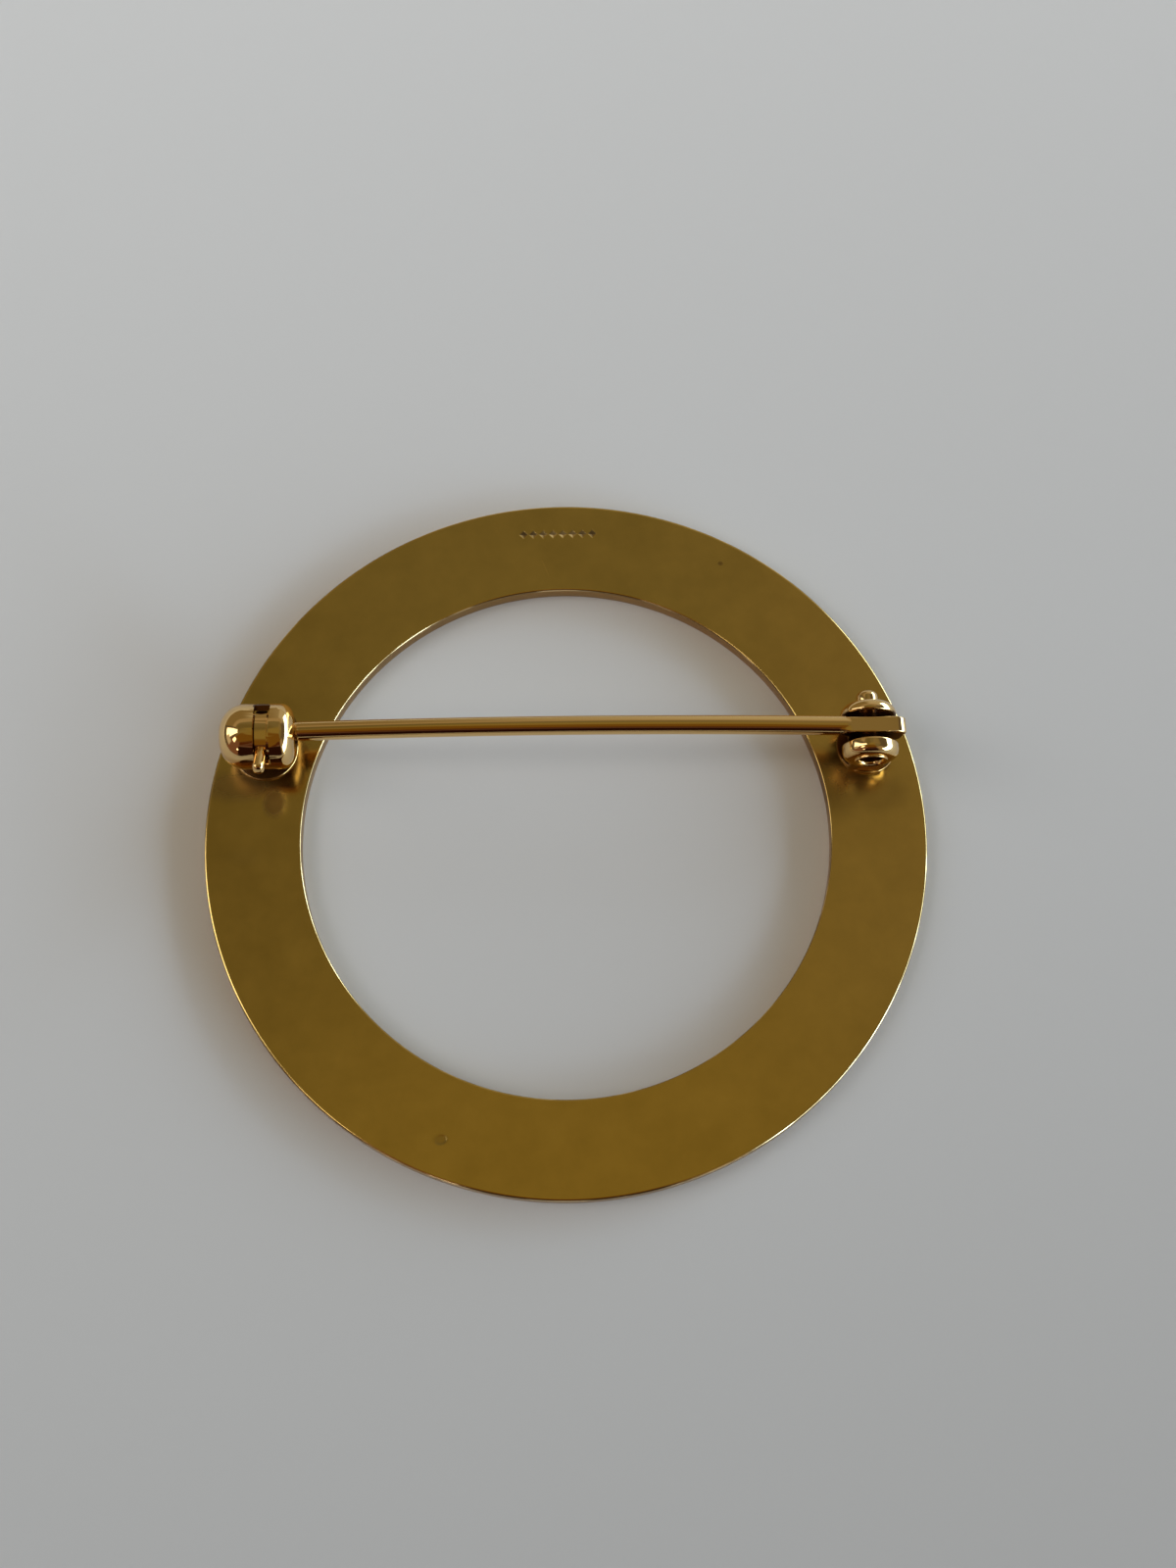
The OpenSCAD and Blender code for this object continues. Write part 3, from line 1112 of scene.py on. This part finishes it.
@dataclass
class PinStem(RivetedPiece):
    """The bowed round wire with its point, and the flat tang that turns on the rivet.

    Attributes:
        y: The tang's middle.
        first: Where the bow starts at the joint.
        last: Where the bow ends and the point starts.
        wire_r: The wire's radius.
        bow: How far the middle bows.
        bow_tilt: The bow's lean from straight up toward the far side, in degrees.
        point: The length of the point.
        point_share: The point's end as a share of the wire's radius.
        shoulder: The length of the shoulder that dies into the tang.
        shoulder_share: The shoulder's end as a share of the wire's radius.
        tang_t: The tang's thickness.
        top: The tang's height above the rivet.
        tail: The tail's reach.
        eye: The eye's radius.
    """

    name: str = "pin_wire"
    body: Body = Body.PIN
    node: str = "pin_stem"
    y: float = 4.93
    first: Triple = (15.6, 5.01, 4.0)
    last: Triple = (-14.6, 5.46, 3.39)
    wire_r: float = 0.53
    bow: float = 0.28
    bow_tilt: float = 20.0
    point: float = 3.3
    point_share: float = 0.12
    shoulder: float = 0.7
    shoulder_share: float = 0.7
    tang_t: float = 0.88
    top: float = 1.2
    tail: float = 1.92
    eye: float = 0.54

    def build(self) -> None:
        """Sweep the wire with geometry nodes, join the tang and drill it."""
        obj = self._wire()
        for flat in (self._tang(), self._shoulder()):
            Shop.combine(obj, "UNION", Shop.soften(flat, width=0.07, segments=3, angle=40.0))
        drill = Shop.lathe("eye", oblong(0.0, self.eye, -1.0, 4.0), self.across(self.y - 2.0), 64)
        Shop.combine(obj, "DIFFERENCE", drill)
        self.made = Shop.smooth(obj)

    def _wire(self) -> Solid:
        """Sweep the wire along its bow, from the shoulder to the point.

        Returns:
            The wire.
        """
        first, last = Vector(self.first), Vector(self.last)
        run = (last - first).length
        course = (last - first).normalized()
        start = first - course * self.shoulder
        end = last + course * self.point
        whole = (end - start).length
        sizes = {
            "Wire Radius": self.wire_r * MM,
            "Bow": self.bow * MM,
            "Bow Start": self.shoulder / whole,
            "Bow Share": run / whole,
            "Shoulder Radius": self.shoulder_share,
            "Point Radius": self.point_share,
            "Steps": 240,
            "Facets": 48,
        }
        sweep = Sweep(self.name, sizes)
        g, given = sweep.graph, sweep.given
        ends = {"Start": start * MM, "End": end * MM}
        line = g.node("GeometryNodeCurvePrimitiveLine", ends, mode="POINTS")
        points = {"Curve": line.outputs[0], "Count": given["Steps"]}
        cuts = g.node("GeometryNodeResampleCurve", points, mode="COUNT")
        share = g.node("GeometryNodeSplineParameter").outputs["Factor"]
        t = g.math("DIVIDE", g.math("SUBTRACT", share, given["Bow Start"]), given["Bow Share"])
        inside = g.math("MINIMUM", g.math("MAXIMUM", t, 0.0), 1.0)
        before = g.math("MAXIMUM", g.math("MULTIPLY", t, -1.0), 0.0)
        after = g.math("MAXIMUM", g.math("SUBTRACT", t, 1.0), 0.0)
        rise = g.math("MULTIPLY", inside, g.math("SUBTRACT", 1.0, inside))
        rise = g.math("SUBTRACT", g.math("SUBTRACT", rise, before), after)
        rise = g.math("MULTIPLY", g.math("MULTIPLY", rise, 4.0), given["Bow"])
        tilt = math.radians(self.bow_tilt)
        aside, up = (g.math("MULTIPLY", rise, part) for part in (math.sin(tilt), math.cos(tilt)))
        shift = g.vector(0.0, aside, up)
        bent = g.node("GeometryNodeSetPosition", {"Geometry": cuts.outputs[0], "Offset": shift})
        near = g.math("MULTIPLY", before, run / self.shoulder)
        near = g.math("MULTIPLY", near, g.math("SUBTRACT", 1.0, given["Shoulder Radius"]))
        tip = g.math("MULTIPLY", after, run / self.point)
        tip = g.math("MULTIPLY", tip, g.math("SUBTRACT", 1.0, given["Point Radius"]))
        thick = g.math("SUBTRACT", g.math("SUBTRACT", 1.0, near), tip)
        size = {"Resolution": given["Facets"], "Radius": given["Wire Radius"]}
        section = g.node("GeometryNodeCurvePrimitiveCircle", size, mode="RADIUS")
        curves = {"Curve": bent.outputs[0], "Profile Curve": section.outputs[0], "Scale": thick}
        swept = g.node("GeometryNodeCurveToMesh", curves | {"Fill Caps": True})
        return sweep.finish(swept.outputs[0])

    def _tang(self) -> Solid:
        """Make the flat tang.

        Returns:
            The tang, placed round the rivet.
        """
        top, tail = self.top, self.tail
        outline = [
            (-top, 0.1),
            *arc(0.0, 0.0, top, 180.0, 343.5, 18),
            (tail - 0.42, -0.34),
            (tail - 0.24, -0.14),
            (tail, top - 0.42),
            (tail - 0.05, top - 0.32),
            (tail - 0.5, top),
            (-top, top),
        ]
        middle = Matrix.Translation((self.x, self.y + self.tang_t / 2, self.z))
        upright = middle @ Matrix.Rotation(math.radians(90), 4, "X")
        return Shop.prism("tang", outline, self.tang_t, upright)

    def _shoulder(self) -> Solid:
        """Make the flattened stretch where the round wire grows into the tang.

        Returns:
            The shoulder, narrow at the wire and as wide as the tang at its other end.
        """
        x, y, z = self.first
        half = self.tang_t / 2
        low, high = z - 0.42, self.z + self.top
        stages = (
            (x - 1.2, y, 0.2, z - 0.2, z + 0.34),
            (x + 0.02, self.y, half, low, high),
            (x + 0.4, self.y, half, low, high),
        )
        rings = [
            [(at, across, up) for across, up in oblong(middle - wide, middle + wide, under, over)]
            for at, middle, wide, under, over in stages
        ]
        return Shop.loft("shoulder", rings)


@dataclass
class CatchRotor(CatchPiece):
    """The open sleeve with its collars, its band and the thumb lever.

    Attributes:
        sleeve: The sleeve's inside and outside radius.
        span: The sleeve's ends, from the barrel's open end.
        collar: The collars' length.
        band_r: The radius of the band and the collars.
        band_span: The band's edges, from the barrel's open end.
        sector: The sleeve's first and last angle.
        band_last: The band's last angle.
        reach: The lever's reach.
        turn: The lever's angle above the level line, in degrees.
        lever_half: Half the lever's height.
        lever_end: The rounding of the lever's end.
    """

    name: str = "rotor_lever"
    body: Body = Body.ROTOR
    node: str = "catch_rotor"
    sleeve: Point = (0.85, 1.28)
    span: Point = (0.48, 2.92)
    collar: float = 0.5
    band_r: float = 1.45
    band_span: Point = (1.45, 2.07)
    sector: Point = (-135.0, 143.0)
    band_last: float = 157.0
    reach: float = 2.98
    turn: float = 33.0
    lever_half: float = 0.42
    lever_end: float = 0.25

    def build(self) -> None:
        """Turn the sleeve with its collars, join the band and the lever."""
        place, (first, last) = self.along(), self.sector
        r0, r1, r2 = *self.sleeve, self.band_r
        (s, e), c, (a, b) = self.span, self.collar, self.band_span
        wall = [(r0, s), (r2, s), (r2, s + c), (r1, s + c), (r1, e - c), (r2, e - c), (r2, e), (r0, e)]
        obj = Shop.lathe(self.name, wall, place, 128, first - 90.0, last - first)
        band = Shop.lathe("band", oblong(r0, r2, a, b), place, 128, first - 90.0, self.band_last - first)
        swing = Matrix.Rotation(math.radians(self.turn - 90.0), 4, "Z")
        swung = place @ swing @ Matrix.Translation((0.0, 0.0, a))
        tip = self.reach - self.lever_end
        outline = [
            (r0 + 0.1, -self.lever_half),
            *arc(tip, -0.1, self.lever_end, -90, 0, 5),
            *arc(tip, 0.1, self.lever_end, 0, 90, 5),
            (r0 + 0.1, self.lever_half),
        ]
        lever = Shop.prism("lever", outline, b - a, swung)
        Shop.soften(lever, width=0.27, segments=6, angle=45.0)
        Shop.combine(obj, "UNION", band, lever)
        Shop.soften(obj, width=0.03, segments=2, angle=40.0)
        self.made = Shop.smooth(obj)


# Room


@dataclass(frozen=True)
class Glow:
    """A soft-edged patch of light in the room round the table, seen only in reflections.

    Attributes:
        name: What it is.
        azimuth: The direction of its middle, from +X toward +Y, in degrees.
        half: Half its width, in degrees.
        low: Its lower edge above the table's level, in degrees.
        high: Its upper edge, in degrees.
        color: Its radiance.
        soft: The width of its soft edges, in degrees.
    """

    name: str
    azimuth: float
    half: float
    low: float
    high: float
    color: Triple
    soft: float = 4.0

    def add(self, g: Graph, under: Feed) -> Socket:
        """Paint the patch over what lies under it.

        Args:
            g: The world's graph, whose coordinates are the direction looked in.
            under: The colour so far.

        Returns:
            The colour with the patch.
        """
        turn = {"Vector": g.where, "Angle": math.radians(-self.azimuth)}
        x, y, z = g.split(g.node("ShaderNodeVectorRotate", turn, rotation_type="Z_AXIS").outputs[0])
        side = g.math("ABSOLUTE", g.math("ARCTAN2", y, x))
        rise = g.math("ARCSINE", z)
        inside = self._edge(g, side, self.half, False)
        for edge in (self._edge(g, rise, self.low, True), self._edge(g, rise, self.high, False)):
            inside = g.math("MULTIPLY", inside, edge)
        return g.blend(inside, under, self.color)

    def _edge(self, g: Graph, angle: Socket, at: float, past: bool) -> Socket:
        """Make one soft edge.

        Args:
            g: The world's graph.
            angle: The angle, in radians.
            at: Where the edge is, in degrees.
            past: Whether the patch lies past the edge.

        Returns:
            One inside and zero outside.
        """
        half = self.soft / 2.0
        before, after = (0.0, 1.0) if past else (1.0, 0.0)
        return g.step(angle, math.radians(at - half), math.radians(at + half), before, after)


@dataclass
class Room:
    """The table, the light and the camera. None of it belongs to the brooch.

    Attributes:
        glows: The patches of light, from the lowest layer up.
        air: The radiance between the patches.
        backdrop: What the camera sees past the table.
        table: The table's colour in its middle.
        table_r: The table's radius.
        table_t: The table's thickness.
        rest: How far the table lies below the brooch, so that their faces don't fight.
        painted_light_x: How the painted light fall-off changes the table's colour along X, per metre.
        painted_light_y: How it changes along Y, per metre.
        painted_light_span: The least and the most change.
        lens: The camera's focal length.
        sensor: Its sensor's longer side.
        stand: Its place, in millimetres.
        right: The way to the right in its view.
        up: The way up in its view.
    """

    glows: tuple[Glow, ...]
    air: Triple = (0.12, 0.1, 0.07)
    backdrop: Triple = (0.42, 0.42, 0.42)
    table: Triple = (0.685, 0.66, 0.63)
    table_r: float = 900.0
    table_t: float = 20.0
    rest: float = 0.004
    painted_light_x: float = -1.2
    painted_light_y: float = 4.2
    painted_light_span: Point = (-0.25, 0.3)
    lens: float = 45.0
    sensor: float = 36.0
    stand: Triple = (0.0, -30.66, 105.14)
    right: Triple = (0.99977, -0.02059, 0.00552)
    up: Triple = (0.0179, 0.9516, 0.30681)

    def build(self) -> None:
        """Set the table, light the room and place the camera."""
        self._table()
        self._world()
        self._camera()
        view = bpy.context.scene.view_settings
        view.view_transform = "Standard"
        view.look = "None"
        LOG.info("room: %d patches of light", len(self.glows))

    def _table(self) -> None:
        """Lay the round pale table top, with its edges bevelled, and paint the light's fall-off into its
        colour.
        """
        r, low, high, edge = self.table_r, -self.table_t, -self.rest, 3.0
        wall = [(r - edge, low), (r, low + edge), (r, high - edge), (r - edge, high)]
        profile = [(0.0, low), *wall, (0.0, high)]
        top = Shop.lathe("table", profile, Matrix.Identity(4), 128)
        made = bpy.data.materials.new("table_top")
        made.use_nodes = True
        g = Graph(made.node_tree, "Object")
        x, y, _ = g.split(g.where)
        # Painted light: the table's colour is scaled brighter toward +Y and -X, in place of the light's
        # fall-off across the table.
        fall = g.math("ADD", g.math("MULTIPLY", y, self.painted_light_y), g.math("MULTIPLY", x, self.painted_light_x))
        least, most = self.painted_light_span
        fall = g.math("MINIMUM", g.math("MAXIMUM", fall, least), most)
        tone = {0: self.table, "Scale": g.math("ADD", fall, 1.0)}
        color = g.node("ShaderNodeVectorMath", tone, operation="SCALE").outputs[0]
        paint = {"Base Color": color, "Roughness": 0.6, "Specular IOR Level": 0.3}
        surface = g.node("ShaderNodeBsdfPrincipled", paint).outputs[0]
        g.node("ShaderNodeOutputMaterial", {"Surface": surface})
        top.data.materials.append(made)

    def _world(self) -> None:
        """Write the room's light as soft patches by direction, with a plain backdrop for the camera."""
        world = bpy.data.worlds.new("room_light")
        world.use_nodes = True
        g = Graph(world.node_tree, "Generated")
        color = self.air
        for glow in self.glows:
            color = glow.add(g, color)
        light = g.node("ShaderNodeBackground", {"Color": color}).outputs[0]
        plain = g.node("ShaderNodeBackground", {"Color": self.backdrop}).outputs[0]
        seen = g.node("ShaderNodeLightPath").outputs["Is Camera Ray"]
        pick = g.node("ShaderNodeMixShader", {0: seen, 1: light, 2: plain})
        g.node("ShaderNodeOutputWorld", {"Surface": pick.outputs[0]})
        bpy.context.scene.world = world

    def _camera(self) -> None:
        """Place the camera as the photo's, fitted from the ring's two outlines."""
        data = bpy.data.cameras.new("camera")
        data.lens = self.lens
        data.sensor_width = self.sensor
        data.clip_start = 0.005
        data.clip_end = 20.0
        obj = added("camera", data)
        right, up = Vector(self.right), Vector(self.up)
        turn = Matrix((right, up, right.cross(up))).transposed().to_4x4()
        obj.matrix_world = Matrix.Translation(Vector(self.stand) * MM) @ turn
        bpy.context.scene.camera = obj


def room_light() -> tuple[Glow, ...]:
    """List the patches of light that the metal reflects.

    Returns:
        The patches, from the lowest layer up.
    """
    return (
        Glow("far_wall", 108.0, 46.0, -4.0, 45.0, (0.23, 0.18, 0.09)),
        Glow("far_wall_right", 66.0, 27.0, -4.0, 45.0, (0.47, 0.45, 0.37), 20.0),
        Glow("far_upper", 100.0, 52.0, 42.0, 57.0, (0.36, 0.295, 0.19)),
        Glow("ceiling", 0.0, 190.0, 56.0, 95.0, (0.191, 0.166, 0.085)),
        Glow("ceiling_left", 140.0, 30.0, 60.0, 80.0, (0.157, 0.129, 0.054), 14.0),
        Glow("ceiling_right", 40.0, 35.0, 58.0, 82.0, (0.232, 0.192, 0.1), 14.0),
        Glow("overhead", 0.0, 190.0, 77.0, 95.0, (0.25, 0.198, 0.064), 10.0),
        Glow("near_high", 255.0, 48.0, 50.0, 80.0, (0.17, 0.09, 0.014), 6.0),
        Glow("near_left", 225.0, 25.0, -2.0, 50.0, (0.19, 0.095, 0.065), 8.0),
        Glow("near_middle", 275.0, 28.0, 40.0, 51.0, (0.08, 0.022, 0.005), 5.0),
        Glow("near_line", 275.0, 28.0, 35.5, 40.0, (0.13, 0.065, 0.055), 3.0),
        Glow("near_low", 275.0, 28.0, -2.0, 35.0, (0.02, 0.006, 0.004), 3.0),
        Glow("near_right", 310.0, 16.0, 0.0, 50.0, (0.33, 0.27, 0.18), 12.0),
        Glow("window", 0.0, 52.0, -1.0, 23.0, (5.2, 6.9, 8.9), 5.0),
        Glow("side_high", 175.0, 14.5, 15.0, 68.0, (2.6, 2.6, 2.6), 2.5),
        Glow("side_low", 193.0, 13.0, 12.0, 30.0, (0.55, 0.5, 0.45), 5.0),
        Glow("lamp", 213.0, 8.0, 38.0, 53.0, (3.0, 2.8, 2.5), 3.0),
        Glow("spot", 244.0, 3.0, 20.0, 25.0, (4.0, 3.9, 3.6), 2.0),
    )


def main() -> None:
    """Build the brooch piece by piece, dress it and set the room."""
    logging.basicConfig(level=logging.INFO, format="%(name)s: %(message)s")
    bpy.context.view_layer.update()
    pieces: list[SubAssembly] = [RingBand(), PinJoint(), CatchHousing(), Rivet(), PinStem(), CatchRotor()]
    for piece in pieces:
        piece.build()
    materials = finishes()
    for piece in pieces:
        piece.dress(materials)
    Room(room_light()).build()


if __name__ == "__main__":
    main()
